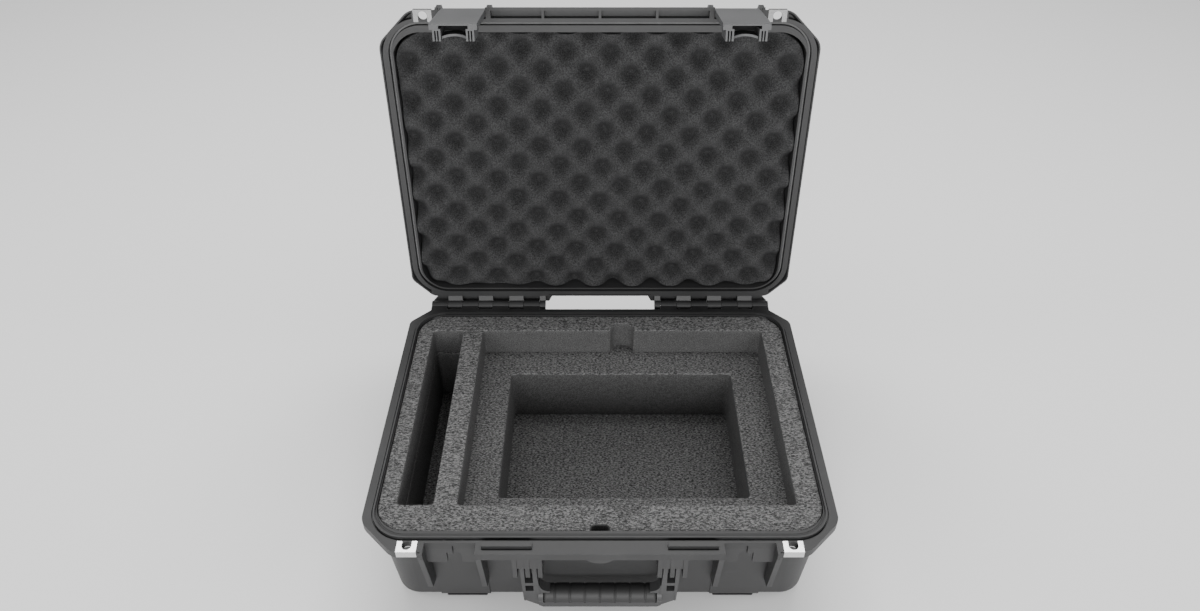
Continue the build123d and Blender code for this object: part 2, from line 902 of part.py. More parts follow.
def valve_body():
    """Cap and stem of the pressure valve, with a groove for its ring."""
    y_out, y_in = valve_faces()
    cap = valve_turn(y_out - valve_cap_height / 2, valve_z, Cylinder(valve_cap_radius, valve_cap_height))
    stem_length = y_in - y_out + valve_nut_height
    stem = valve_turn(y_out + stem_length / 2, valve_z, Cylinder(valve_stem_radius, stem_length))
    groove_height = 2 * (oring_wire + oring_play)
    groove = Cylinder(oring_radius + oring_wire + oring_play, groove_height)
    groove -= Cylinder(oring_radius - oring_wire - oring_play, groove_height)
    cap -= valve_turn(y_out - groove_height / 2, valve_z, groove)
    for i in range(valve_slot_count):
        turn = Rot(Z=360 * i / valve_slot_count)
        grip_slot = turn * Pos(valve_cap_radius, 0, 0) * Cylinder(valve_slot_radius, 2 * valve_cap_height)
        cap -= valve_turn(y_out - valve_cap_height, valve_z, grip_slot)
    return cap + stem


def valve_nut():
    """The hexagon nut that holds the valve inside the wall."""
    y_in = valve_faces()[1]
    hexagon = RegularPolygon(valve_nut_width / 2, 6, major_radius=False)
    nut = extrude(hexagon, amount=valve_nut_height / 2, both=True)
    nut -= Cylinder(valve_stem_radius + seat_fit, valve_nut_height)
    return valve_turn(y_in + valve_nut_height / 2, valve_z, nut)


def valve_oring():
    """The rubber ring between the valve's cap and the boss."""
    y_out = valve_faces()[0]
    return valve_turn(y_out - oring_wire - oring_play, valve_z, Torus(oring_radius, oring_wire))


def grip_corner_web():
    """The hollow-cornered web between an arm and the top of the grip."""
    x_min = arm_inner - handle_taper - grip_corner
    z_top = grip_z + grip_radius + grip_corner + grip_corner_root
    y_mid = handle_pivot_y - fork_radius + arm_depth / 2
    y_half = grip_corner_depth / 2
    web = block(x_min, arm_inner + root, y_mid - y_half, y_mid + y_half, grip_z, z_top)
    hollow = Pos(x_min, y_mid, z_top) * Rot(X=90) * Cylinder(grip_corner, 2 * arm_depth)
    return web - hollow


def handle_frame():
    """The swinging handle: two forked arms and a foot bar, with a core for the grip."""
    z_bar = handle_foot_z + bar_foot
    outer = [
        (arm_outer, handle_pivot_z),
        (arm_outer - handle_taper, rim - handle_shoulder_drop),
        (handle_foot_half, handle_foot_z),
    ]
    inner = [
        (arm_inner - handle_taper, z_bar),
        (arm_inner - handle_taper, grip_z + grip_radius),
        (arm_inner, flange_bottom - lug_length - root),
        (arm_inner, handle_pivot_z),
    ]
    points = outer + [(-x, z) for x, z in reversed(outer)]
    points += [(-x, z) for x, z in inner[::-1]] + inner
    y_front = handle_pivot_y - fork_radius
    face = Plane.XZ.offset(-y_front) * make_face(Polyline(*points, close=True))
    frame = extrude(face, amount=arm_depth, dir=(0, 1, 0))
    frame += both_sides(grip_corner_web())
    collar_radius = grip_radius - collar_step
    frame += both_sides(rod(grip_half + grip_fit, arm_inner, grip_y, grip_z, collar_radius))
    frame -= rod(-grip_half - grip_fit, grip_half + grip_fit, grip_y, grip_z, grip_radius + grip_fit)
    core_half = grip_half + core_reach
    frame += rod(-core_half, core_half, grip_y, grip_z, grip_core)
    frame += both_sides(rod(arm_inner, arm_outer, handle_pivot_y, handle_pivot_z, fork_radius))
    slot_min = arm_inner + fork_leaf
    slot_max = arm_outer - fork_leaf
    y_min = handle_pivot_y - arm_depth
    y_max = handle_pivot_y + arm_depth
    z_window = handle_pivot_z - fork_window
    z_second = z_window - cross_bar
    z_eye = handle_pivot_z + 2 * fork_radius
    frame -= both_sides(block(slot_min, slot_max, y_min, y_max, z_window, z_eye))
    boss = fork_gap - fork_boss_play
    for x in (arm_inner - boss, slot_min, slot_max - boss, arm_outer):
        frame += both_sides(rod(x, x + boss, handle_pivot_y, handle_pivot_z, fork_boss_radius))
    frame -= both_sides(block(slot_min, slot_max, y_min, y_max, z_second - second_window, z_second))
    z_panel = z_second - second_window - panel_drop
    panel_max = arm_outer - fork_leaf + root
    frame -= both_sides(block(arm_inner, panel_max, y_front, y_front + panel_step, handle_foot_z, z_panel))
    pivot_hole = rod(
        arm_inner - fork_gap,
        arm_outer + fork_gap,
        handle_pivot_y,
        handle_pivot_z,
        handle_pin_radius + running_fit,
    )
    return frame - both_sides(pivot_hole)


def handle_grip():
    """The rubber grip moulded round the core of the handle, flat above the foot bar."""
    grip = rod(-grip_half, grip_half, grip_y, grip_z, grip_radius)
    grip = fillet(grip.edges(), grip_end_round)
    grip -= rod(-grip_half - root, grip_half + root, grip_y, grip_z, grip_core)
    z_bar = handle_foot_z + bar_foot
    return grip & block(-case_width, case_width, -case_depth, case_depth, z_bar, rim)


def lid_fin(x_middle):
    """A fin of the lid that carries one end of a latch pin, drawn closed."""
    front = latch_pivot_y - lid_fin_front
    z_top = latch_pivot_z + lid_fin_top_rise
    points = [
        (front, lid_rim),
        (front, latch_pivot_z),
        (front + lid_fin_nose_rise, latch_pivot_z + lid_fin_nose_rise),
        (body_front + root, z_top),
        (body_front + 2 * wall, z_top),
        (body_front + 2 * wall, lid_rim),
    ]
    fin = side_plate(points, x_middle, fin_thickness)
    nose = fin.edges().filter_by(Axis.X).sort_by(Axis.Y)[0:3].sort_by(Axis.Z)[1:3]
    return fillet(nose, lid_fin_round)


def lid_cells():
    """The row of cells in the underside of the lid's front flange."""
    y_front = bar_front_y - channel_play
    y_rear = -half_depth + ring_front
    z_top = lid_rim + channel_depth
    inner = block(cell_rib / 2, cell_pitch - cell_rib / 2, y_front, y_rear, lid_rim, z_top)
    outer = block(cell_pitch + cell_rib / 2, cell_outer, y_front, y_rear, lid_rim, z_top)
    return both_sides(inner + outer)


def lid_shell():
    """The moulded lid, drawn closed."""
    shell = tub(0, lid_rim, lid_height, True, bottom_round) + lid_flange()
    shell += lid_bands()
    shell += both_sides(lid_fin(lid_fin_inner) + lid_fin(lid_fin_outer))
    shell -= lid_cells()
    shell += both_sides(lid_knuckles())
    shell -= tub(-wall, lid_rim, lid_height - wall, True, bottom_round - wall / 2)
    lip_inner = groove_inner_play + groove_lip
    shell += extrude(seal_band(lip_inner, 0, lid_rim), amount=groove_depth + groove_lip)
    shell -= extrude(seal_band(groove_inner_play, groove_outer_play, lid_rim), amount=groove_depth)
    hinge_hole = rod(
        hinge_start - end_knuckle - root,
        hinge_end + root,
        hinge_y,
        hinge_z,
        hinge_pin_radius + running_fit,
    )
    shell -= both_sides(hinge_hole)
    latch_hole = rod(
        lid_fin_inner - fin_thickness,
        lid_fin_outer + fin_thickness,
        latch_pivot_y,
        latch_pivot_z,
        latch_pin_radius + seat_fit,
    )
    shell -= both_sides(latch_hole)
    shell -= both_sides(padlock_plates(lid_rim, lid_padlock_height, True))
    shell -= both_sides(padlock_relief(lid_rim, lid_padlock_height, True))
    shell -= both_sides(post(padlock_x, padlock_y, lid_rim, lid_rim + flange_height, padlock_radius))
    return shell


def lid_gasket():
    """The soft band at the bottom of the lid's groove, drawn closed."""
    z_low = lid_rim + groove_depth - gasket_height
    return extrude(seal_band(gasket_inner_play, gasket_outer_play, z_low), amount=gasket_height)


def lid_foam():
    """Convoluted foam: a slab with staggered, slightly turned rows of blunt cones, drawn closed."""
    z_ceiling = lid_rim + lid_height - wall - foam_floor_gap
    z_valley = z_ceiling - crate_base
    z_tip = foam_top + crate_tip_gap
    inset = wall - tongue_side_inset + groove_inner_play + groove_lip + foam_gap
    blank = tub(-inset, z_tip, z_ceiling - z_tip, True, bottom_round)
    foam = block(-half_width, half_width, -half_depth, half_depth, z_valley, z_ceiling)
    middle_y = (body_front + body_rear) / 2
    turn = radians(crate_turn)
    columns = int(case_width / crate_pitch_x) + 1
    rows = int(case_depth / crate_pitch_y) + 1
    cone_height = z_valley - z_tip
    cones = []
    for i in range(-columns, columns + 1):
        for j in range(-rows, rows + 1):
            along = i * crate_pitch_x / 2
            across = j * crate_pitch_y / 2
            x = crate_start_x + along * cos(turn) - across * sin(turn)
            y = middle_y + crate_start_y + along * sin(turn) + across * cos(turn)
            if (i + j) % 2 or abs(x) > half_width or abs(y) > half_depth:
                continue
            cone = Cone(crate_tip_radius, crate_foot_radius, cone_height)
            cones.append(Pos(x, y, z_tip + cone_height / 2) * cone)
    foam += cones
    return foam & blank


def latch_section(points, x_min, x_max):
    """A piece of the right latch from points given out from and down from its pivot."""
    side_points = [(-out, -down) for out, down in points]
    return side_plate(side_points, (x_min + x_max) / 2, x_max - x_min)


def latch_place(piece):
    """Puts a latch piece on its pivot, leaning out a little, on the open lid."""
    return opened(Pos(0, latch_pivot_y, latch_pivot_z) * Rot(X=-latch_lean) * piece)


def latch_cover():
    """The latch's cover: pivot eye, plate, side walls, shoulders and slotted rails."""
    inside = cover_outer - cover_thickness
    eye_side = latch_eye_radius / sqrt(2)
    plate = [
        (0, -latch_eye_radius),
        (eye_side, -eye_side),
        (cover_outer, cover_flat_start),
        (cover_outer, cover_length - cover_edge),
        (cover_outer - cover_edge, cover_length),
        (inside, cover_length),
        (inside, cover_flat_start + eye_side),
        (0, latch_eye_radius),
    ]
    cover = latch_section(plate, latch_inner, latch_outer)
    cover += rod(latch_inner, latch_outer, 0, 0, latch_eye_radius)
    side_wall = [
        (inside + root, cover_flat_start),
        (side_wall_inner, cover_flat_start),
        (side_wall_inner, shoulder_start + root),
        (inside + root, shoulder_start + root),
    ]
    shoulder = [
        (inside + root, shoulder_start),
        (side_wall_inner, shoulder_start),
        (side_wall_inner, cover_length),
        (inside + root, cover_length),
    ]
    rail = [
        (side_wall_inner + root, shoulder_start),
        (rail_inner + rail_nose, shoulder_start),
        (rail_inner, shoulder_start + rail_nose),
        (rail_inner, cover_length),
        (side_wall_inner + root, cover_length),
    ]
    slot = [
        (rail_inner - root, shoulder_start + rail_nose),
        (side_wall_inner - root, shoulder_start + rail_nose),
        (side_wall_inner - root, cover_length + root),
        (rail_inner - root, cover_length + root),
    ]
    for way in (-1, 1):
        edge = latch_centre + way * latch_width / 2
        wall_edge = edge - way * side_web
        shoulder_edge = edge - way * shoulder_width
        rail_edge = edge - way * rail_inset
        rail_side = rail_edge - way * rail_width
        cover += latch_section(side_wall, min(edge, wall_edge), max(edge, wall_edge))
        cover += latch_section(shoulder, min(edge, shoulder_edge), max(edge, shoulder_edge))
        cover += latch_section(rail, min(rail_edge, rail_side), max(rail_edge, rail_side))
        for i in range(1, 3):
            middle = rail_edge - way * i * rail_width / 3
            cover -= latch_section(slot, middle - rail_slot / 2, middle + rail_slot / 2)
    cover -= rod(latch_inner - root, latch_outer + root, 0, 0, latch_pin_radius + running_fit)
    cover -= rod(
        latch_inner - root,
        latch_outer + root,
        -trigger_pin_out,
        -trigger_pin_down,
        trigger_pin_radius + seat_fit,
    )
    return cover


def finger_plate_part(half):
    """The arched plate at the trigger's end, with a hollow edge for the finger."""
    start = hook_top + hook_height + trigger_bend_length - root
    length = trigger_length - start
    middle = Pos(latch_centre, finger_curve - finger_crown, -(start + trigger_length) / 2)
    band = middle * (Cylinder(finger_curve, length) - Cylinder(finger_curve - finger_plate, 2 * length))
    band = band & block(
        latch_centre - half,
        latch_centre + half,
        0,
        finger_curve / 2,
        -trigger_length,
        -start,
    )
    arch = Pos(latch_centre, 0, -trigger_length - finger_arch_radius + finger_arch_rise)
    return band - arch * Rot(X=90) * Cylinder(finger_arch_radius, 2 * finger_curve)


def latch_trigger():
    """The release lever: an eye, a plate with the catch hook, and an arched finger plate."""
    half = latch_width / 2 - rail_inset - rail_width - trigger_side_gap
    plate_out = trigger_in + trigger_plate
    finger_in = finger_crown - finger_plate
    hook_bottom = hook_top + hook_height
    bend_end = hook_bottom + trigger_bend_length
    lever = [
        (plate_out, trigger_pin_down),
        (plate_out, hook_bottom),
        (finger_crown, bend_end),
        (finger_in, bend_end),
        (hook_tip, hook_bottom),
        (hook_tip, hook_top),
        (trigger_in, hook_top),
        (trigger_in, trigger_pin_down),
    ]
    trigger = latch_section(lever, latch_centre - half, latch_centre + half)
    trigger += finger_plate_part(half)
    eye_gap = side_web + trigger_side_gap
    trigger += rod(
        latch_inner + eye_gap,
        latch_outer - eye_gap,
        -trigger_pin_out,
        -trigger_pin_down,
        trigger_eye_radius,
    )
    return trigger - rod(
        latch_inner,
        latch_outer,
        -trigger_pin_out,
        -trigger_pin_down,
        trigger_pin_radius + running_fit,
    )


def latch_pin():
    """The steel pin on which a latch turns, held in the lid's fins."""
    side = fin_thickness / 2
    return rod(lid_fin_inner - side, lid_fin_outer + side, 0, 0, latch_pin_radius)


def trigger_pin():
    """The steel pin on which the trigger turns, held in the latch's webs."""
    return rod(latch_inner, latch_outer, -trigger_pin_out, -trigger_pin_down, trigger_pin_radius)


def trigger_spring():
    """A bowed strip between the cover and the trigger that keeps the hook in."""
    inside = cover_outer - cover_thickness
    crown = trigger_in + trigger_plate + spring_gap
    start = trigger_pin_down + trigger_eye_radius + spring_foot
    end = start + spring_length
    middle = (start + end) / 2
    strip = [
        (inside, start),
        (inside, start + spring_foot),
        (crown + spring_strip, middle),
        (inside, end - spring_foot),
        (inside, end),
        (inside - spring_strip, end),
        (inside - spring_strip, end - spring_foot),
        (crown, middle),
        (inside - spring_strip, start + spring_foot),
        (inside - spring_strip, start),
    ]
    return latch_section(strip, latch_centre - spring_width / 2, latch_centre + spring_width / 2)


def write(node, piece):
    """Writes one piece, moved so that the origin is under the middle of the open case."""
    export_step(Pos(0, -origin_y, 0) * piece, "parts/" + node + ".step")


for name, piece in base_parts().items():
    write(name, piece)
write("foam_bottom_pad", foam_layer(pad_bottom, pad_top))
write("foam_ledge_frame", foam_ledge_frame())
write("foam_top_frame", foam_top_frame())
write("valve_body", valve_body())
write("valve_nut", valve_nut())
write("valve_oring", valve_oring())
write("handle_frame", handle_frame())
write("handle_grip", handle_grip())
write("lid_shell", opened(lid_shell()))
write("lid_gasket", opened(lid_gasket()))
write("lid_foam", opened(lid_foam()))
for side, name in ((-1, "left"), (1, "right")):
    write("hinge_pin_" + name, on_side(side, hinge_pin()))
    write("handle_pin_" + name, on_side(side, handle_pin()))
    write("base_padlock_plate_" + name, on_side(side, padlock_plates(rim, padlock_plate_height, False)))
    lid_plate = padlock_plates(lid_rim, lid_padlock_height, True)
    write("lid_padlock_plate_" + name, opened(on_side(side, lid_plate)))
    write("latch_pin_" + name, latch_place(on_side(side, latch_pin())))
    write("latch_body_" + name, latch_place(on_side(side, latch_cover())))
    write("latch_trigger_" + name, latch_place(on_side(side, latch_trigger())))
    write("trigger_pin_" + name, latch_place(on_side(side, trigger_pin())))
    write("trigger_spring_" + name, latch_place(on_side(side, trigger_spring())))
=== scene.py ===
"""A moulded laptop case, open on a pale floor, seen from above its front edge."""
import json
import math
import bpy
import bmesh
import numpy as np
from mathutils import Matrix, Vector


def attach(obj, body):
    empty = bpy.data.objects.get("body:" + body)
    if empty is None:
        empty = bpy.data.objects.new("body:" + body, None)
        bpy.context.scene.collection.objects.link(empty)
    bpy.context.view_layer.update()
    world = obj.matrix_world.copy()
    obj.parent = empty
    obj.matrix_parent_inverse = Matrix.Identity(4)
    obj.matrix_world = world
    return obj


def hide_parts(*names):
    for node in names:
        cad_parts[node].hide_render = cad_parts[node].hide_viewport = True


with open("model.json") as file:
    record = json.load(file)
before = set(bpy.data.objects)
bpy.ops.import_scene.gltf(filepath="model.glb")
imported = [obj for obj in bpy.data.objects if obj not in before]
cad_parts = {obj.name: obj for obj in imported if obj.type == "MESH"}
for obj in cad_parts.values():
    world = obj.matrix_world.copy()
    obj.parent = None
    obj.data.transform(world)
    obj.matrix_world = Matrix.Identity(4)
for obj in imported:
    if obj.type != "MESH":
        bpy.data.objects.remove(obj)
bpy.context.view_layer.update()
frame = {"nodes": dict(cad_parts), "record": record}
nodes = frame["nodes"]

# Camera
# A wide lens stands in front of the case and looks down into it. The lens was worked out
# from the flat rim and from the lid, which has the same outline.
view_distance = 0.8216
view_height = 0.9435
view_turn = math.radians(50.513)
film_width = 36.0
lens_length = 27.14
camera_data = bpy.data.cameras.new("camera")
camera_data.sensor_width = film_width
camera_data.lens = lens_length
camera = bpy.data.objects.new("camera", camera_data)
camera.location = (0, -view_distance, view_height)
camera.rotation_euler = (view_turn, 0, 0)
bpy.context.scene.collection.objects.link(camera)
bpy.context.scene.camera = camera

# Floor and light
# A pale paper floor fills the view, as in a studio. A broad lamp behind and over the case
# lights the foam, one in front lights the wall and the handle, and two stand at the sides.
floor_half = 6.0
floor_corners = [(-floor_half, -floor_half, 0), (floor_half, -floor_half, 0),
                 (floor_half, floor_half, 0), (-floor_half, floor_half, 0)]
paper_white = (0.93, 0.93, 0.93, 1)
paper_rough = 0.9
studio_white = (1, 1, 1, 1)
studio_strength = 0.50

floor_mesh = bpy.data.meshes.new("floor")
floor_mesh.from_pydata(floor_corners, [], [(0, 1, 2, 3)])
floor = bpy.data.objects.new("floor", floor_mesh)
bpy.context.scene.collection.objects.link(floor)
floor_paper = bpy.data.materials.new("floor_paper")
floor_paper.use_nodes = True
paper_shader = floor_paper.node_tree.nodes["Principled BSDF"]
paper_shader.inputs["Base Color"].default_value = paper_white
paper_shader.inputs["Roughness"].default_value = paper_rough
floor_mesh.materials.append(floor_paper)

world = bpy.data.worlds.new("studio")
world.use_nodes = True
background = world.node_tree.nodes["Background"]
background.inputs["Color"].default_value = studio_white
background.inputs["Strength"].default_value = studio_strength
bpy.context.scene.world = world


def soft_lamp(name, place, aim, size, power):
    """A flat lamp of a width and a height, at place, that shines towards aim."""
    data = bpy.data.lights.new(name, "AREA")
    data.shape = "RECTANGLE"
    data.size, data.size_y = size
    data.energy = power
    lamp = bpy.data.objects.new(name, data)
    lamp.location = place
    lamp.rotation_euler = (Vector(aim) - Vector(place)).to_track_quat("-Z", "Y").to_euler()
    bpy.context.scene.collection.objects.link(lamp)


soft_lamp("top_lamp", place=(0, 1.0, 2.5), aim=(0, 0, 0.1), size=(2.4, 1.2), power=60)
soft_lamp("front_lamp", place=(0, -2.6, 0.8), aim=(0, 0, 0.15), size=(2.6, 0.8), power=72)
soft_lamp("left_lamp", place=(-2.0, -0.2, 1.3), aim=(0, 0, 0.2), size=(0.6, 1.6), power=9)
soft_lamp("right_lamp", place=(2.0, -0.2, 1.3), aim=(0, 0, 0.2), size=(0.6, 1.6), power=9)

# Base shell
# The lower half is one injection moulding in a dark structural plastic, with a fine grain
# from the mould. It is carried over as a tub, a rim with the knuckles, and the fins and lugs.
shell_dark = (0.022, 0.022, 0.0225)
shell_light = (0.042, 0.042, 0.0425)
shell_rough = 0.42
shell_grain = 0.22
# The rim's copy of the shell plastic has a darker dark end: painted shade over the rim's top
# faces.
rim_shaded_dark = (0.014, 0.014, 0.0143)
grain_scale = 1500.0
grain_depth = 0.0004
cloud_scale = 11.0
rub_scale = 3.0
rub_stretch = (9.0, 60.0, 60.0)
rub_turn = (0.2, 0.5, 0.3)
plastic_specular = 0.42
# The dark line of painted shade in the rim's groove stands a little off the foam, further in front
# than behind
line_front_reach = (0.0005, 0.0054, 0)
line_rear_reach = (0.0005, 0.0018, 0)
line_corner = 0.037
line_width = 0.0011
line_depth = 0.0016


class Socket:
    """An output of a node in one material. Sums and products of it add Math nodes."""

    def __init__(self, tree, output):
        self.tree = tree
        self.output = output

    def node(self, kind, settings, inputs, outlet=0):
        """Adds a node: its settings first, then the values or links of its sockets."""
        node = self.tree.nodes.new("ShaderNode" + kind)
        for name, value in settings.items():
            if name == "stops":
                while len(node.color_ramp.elements) < len(value):
                    node.color_ramp.elements.new(0.5)
                for element, (position, level) in zip(node.color_ramp.elements, value):
                    element.position = position
                    element.color = (level, level, level, 1)
            else:
                setattr(node, name, value)
        for name, value in inputs.items():
            socket = node.inputs[name]
            if isinstance(value, Socket):
                self.tree.links.new(value.output, socket)
            else:
                socket.default_value = value
        return Socket(self.tree, node.outputs[outlet])

    def _math(self, operation, first, second):
        return self.node("Math", {"operation": operation}, {0: first, 1: second})

    def __add__(self, other):
        return self._math("ADD", self, other)

    def __radd__(self, other):
        return self._math("ADD", other, self)

    def __sub__(self, other):
        return self._math("SUBTRACT", self, other)

    def __rsub__(self, other):
        return self._math("SUBTRACT", other, self)

    def __mul__(self, other):
        return self._math("MULTIPLY", self, other)

    def __rmul__(self, other):
        return self._math("MULTIPLY", other, self)

    def absolute(self):
        """This value without its sign."""
        return self.node("Math", {"operation": "ABSOLUTE"}, {0: self})

    def larger(self, other):
        """The larger one of this value and another."""
        return self._math("MAXIMUM", self, other)

    def smaller(self, other):
        """The smaller one of this value and another."""
        return self._math("MINIMUM", self, other)

    def root(self):
        """The square root of this value."""
        return self.node("Math", {"operation": "SQRT"}, {0: self})

    def axis(self, name):
        """One of the three coordinates: X, Y or Z."""
        return self.node("SeparateXYZ", {}, {"Vector": self}, name)

    def stretched(self, scale, turn=(0.0, 0.0, 0.0)):
        """These coordinates scaled along each axis and turned."""
        return self.node("Mapping", {}, {"Vector": self, "Scale": scale, "Rotation": turn})

    def noise(self, scale, detail, rough=0.5, outlet=0):
        """Cloudy noise over these coordinates, from 0 to 1, with so many grains in a metre."""
        inputs = {"Vector": self, "Scale": scale, "Detail": detail, "Roughness": rough}
        return self.node("TexNoise", {}, inputs, outlet)

    def ramp(self, *stops):
        """A grey that runs through (position, level) stops."""
        return self.node("ValToRGB", {"stops": stops}, {"Fac": self})

    def tint(self, dark, light):
        """A colour between two others, by this value from 0 to 1."""
        colours = {"Factor": self, 6: (*dark, 1), 7: (*light, 1)}
        return self.node("Mix", {"data_type": "RGBA"}, colours, 2)


def finish(name):
    """A new material, its shader and a socket with the object's own coordinates."""
    material = bpy.data.materials.new(name)
    material.use_nodes = True
    tree = material.node_tree
    shader = tree.nodes["Principled BSDF"]
    place = Socket(tree, tree.nodes.new("ShaderNodeTexCoord").outputs["Object"])
    return material, shader, place


def link(value, shader, name):
    """Joins a varying value to one of the shader's sockets."""
    value.tree.links.new(value.output, shader.inputs[name])


def relief(place, height, strength, depth, below=None):
    """A surface normal from a height of 0 to 1, depth metres deep, on top of another one."""
    inputs = {"Strength": strength, "Distance": depth, "Height": height}
    if below:
        inputs["Normal"] = below
    return place.node("Bump", {}, inputs, "Normal")


def moulded_plastic(name, dark, light, rough, grain, cut=None):
    """Textured plastic: a fine grain, clouds of wear, light rubs and perhaps a cut groove whose
    shade is painted as a dark line.
    """
    material, shader, place = finish(name)
    clouds = place.noise(cloud_scale, 5.0, 0.6)
    fine = place.noise(grain_scale, 2.0)
    rubs = place.stretched(rub_stretch, rub_turn).noise(rub_scale, 6.0, 0.7)
    rubbed = rubs.ramp((0.60, 0.0), (0.74, 1.0))
    tone = clouds.ramp((0.30, 0.0), (0.72, 1.0)) * 0.6 + fine * 0.3 + rubbed * 0.25
    below = None
    if cut:
        line = cut(place)
        below = relief(place, 1.0 - line, 1.0, line_depth)
        # The groove is pressed in by the relief, and its shade is painted as a dark line in the
        # colour.
        tone = tone - line * 2.0
    link(tone.tint(dark, light), shader, "Base Color")
    link(rough + clouds * 0.10 - rubbed * 0.06, shader, "Roughness")
    link(relief(place, fine, grain, grain_depth, below), shader, "Normal")
    shader.inputs["Specular IOR Level"].default_value = plastic_specular
    return material


def read_points(mesh):
    """The mesh's points as an array of rows."""
    points = np.empty(3 * len(mesh.vertices), dtype=np.float32)
    mesh.vertices.foreach_get("co", points)
    return points.reshape(-1, 3).astype(float)


def node_points(node):
    """The points of a carried-over piece, which stands where it is drawn."""
    return read_points(nodes[node].data)


def wear(node, material):
    """Gives a carried-over piece its material."""
    for slot in nodes[node].material_slots:
        slot.material = material


shell_plastic = moulded_plastic("shell_plastic", shell_dark, shell_light, shell_rough, shell_grain)
for piece in ("base_tub", "base_fittings"):
    wear(piece, shell_plastic)
foam_points = node_points("foam_top_frame")
line_low = foam_points.min(axis=0) - line_front_reach
line_high = foam_points.max(axis=0) + line_rear_reach


def rim_groove_shade(place):
    """1 on a line round the rim, where the distance to a rounded rectangle is almost 0: a groove
    whose shade is painted dark.
    """
    half = (line_high - line_low) / 2 - line_corner
    middle = (line_high + line_low) / 2
    beyond_x = (place.axis("X") - float(middle[0])).absolute() - float(half[0])
    beyond_y = (place.axis("Y") - float(middle[1])).absolute() - float(half[1])
    inside = beyond_x.larger(beyond_y).smaller(0.0)
    over_x = beyond_x.larger(0.0)
    over_y = beyond_y.larger(0.0)
    reach = (over_x * over_x + over_y * over_y).root()
    away = (reach + inside - line_corner).absolute()
    return (away * (0.5 / line_width)).ramp((0.38, 1.0), (0.5, 0.0))


# The rim wears a darker copy of the shell plastic, painted shade on its top faces, with the
# groove's painted dark line.
shaded_rim_plastic = moulded_plastic(
    "shaded_rim_plastic", rim_shaded_dark, shell_light, shell_rough, shell_grain, rim_groove_shade
)
wear("base_rim", shaded_rim_plastic)

# Base foam
# Three layers of coarse closed-cell foam are cut with a wire or a saw and laid in the base:
# a thin pad, a frame with the deep recess and a frame with the laptop's recess.
foam_dark = (0.007, 0.007, 0.0072)
foam_light = (0.270, 0.269, 0.268)
foam_specular = 0.6
cell_size = 0.0024
cell_stretch = (0.45, 1.0, 1.0)
cell_depth = 0.0020
bend_scale = 260.0
bend_reach = 0.0022
crumb_scale = 720.0
fuzz_scale = 900.0
patch_scale = 14.0
layer_cells = {"foam_bottom_pad": 0.0030, "foam_ledge_frame": 0.0022, "foam_top_frame": 0.0019}
smoothing_steps = 2
bulge = 0.0003
bulge_lengths = (0.011, 0.019, 0.037)


def cut_foam_finish(name):
    """Plank foam: open glossy cells with painted shade in their hollows on the level faces, a
    finer darker cut on the upright ones.
    """
    material, shader, place = finish(name)
    normal = place.node("NewGeometry", {}, {}, "Normal")
    level = normal.axis("Z").absolute().ramp((0.45, 0.0), (0.75, 1.0))
    bent = place.noise(bend_scale, 2.0, outlet="Color")
    push = place.node("VectorMath", {"operation": "SCALE"}, {"Vector": bent, "Scale": bend_reach})
    shifted = place.node("VectorMath", {"operation": "ADD"}, {0: place, 1: push})
    drawn = shifted.stretched(cell_stretch)
    cells = place.node("TexVoronoi", {"feature": "F1"}, {"Vector": drawn, "Scale": 1 / cell_size})
    coarse = drawn.noise(crumb_scale, 5.0, 0.75)
    fine = place.noise(fuzz_scale, 2.0, 0.7)
    clouds = place.noise(patch_scale, 3.0)
    speck = coarse.ramp((0.43, 0.0), (0.60, 1.0))
    pits = cells.ramp((0.10, 1.0), (0.55, 0.0))
    # The open cells are pressed in by the relief and painted darker as the shade in them.
    open_tone = speck * 0.85 - pits * 0.25 + clouds * 0.10
    cut_tone = fine.ramp((0.42, 0.0), (0.58, 1.0)) * 0.26 + clouds * 0.06 + 0.06
    tone = open_tone * level + cut_tone * (1.0 - level)
    link(tone.tint(foam_dark, foam_light), shader, "Base Color")
    link(0.80 - speck * level * 0.30, shader, "Roughness")
    height = (coarse - pits * 0.2) * level + fine * 0.35 * (1.0 - level)
    link(relief(place, height, 1.0, cell_depth), shader, "Normal")
    shader.inputs["Specular IOR Level"].default_value = foam_specular
    return material


def soft_copy(node, name, cell):
    """A foam solid remeshed into small squares and smoothed, so that its cut edges turn soft."""
    data = nodes[node].data.copy()
    data.name = name
    mesh = bmesh.new()
    mesh.from_mesh(data)
    bmesh.ops.remove_doubles(mesh, verts=mesh.verts, dist=1e-5)
    mesh.to_mesh(data)
    mesh.free()
    piece = bpy.data.objects.new(name, data)
    bpy.context.scene.collection.objects.link(piece)
    remesh = piece.modifiers.new("cells", "REMESH")
    remesh.mode = "VOXEL"
    remesh.voxel_size = cell
    smooth = piece.modifiers.new("soft", "SMOOTH")
    smooth.factor = 0.5
    smooth.iterations = smoothing_steps
    bpy.context.view_layer.update()
    shaped = piece.evaluated_get(bpy.context.evaluated_depsgraph_get())
    finished = bpy.data.meshes.new_from_object(shaped)
    piece.modifiers.clear()
    piece.data = finished
    finished.name = name
    return piece


def uneven(points, size, lengths):
    """A gentle unevenness in metres: size times the mean of waves of sin x cos y cos z."""
    total = np.zeros(len(points))
    for i, length in enumerate(lengths):
        turn = 2 * np.pi / length
        x, y, z = points.T
        wave = np.sin(turn * x + 1.7 * i) * np.cos(turn * y * 1.13 - i)
        total += wave * np.cos(turn * z * 0.9 + 2.1 * i)
    return size * total / len(lengths)


def roughen(mesh, size, lengths):
    """Moves each point along its normal by the gentle unevenness."""
    points = read_points(mesh)
    normals = np.empty(3 * len(mesh.vertices), dtype=np.float32)
    mesh.vertices.foreach_get("normal", normals)
    points += normals.reshape(-1, 3) * uneven(points, size, lengths)[:, None]
    mesh.vertices.foreach_set("co", points.ravel())
    mesh.update()


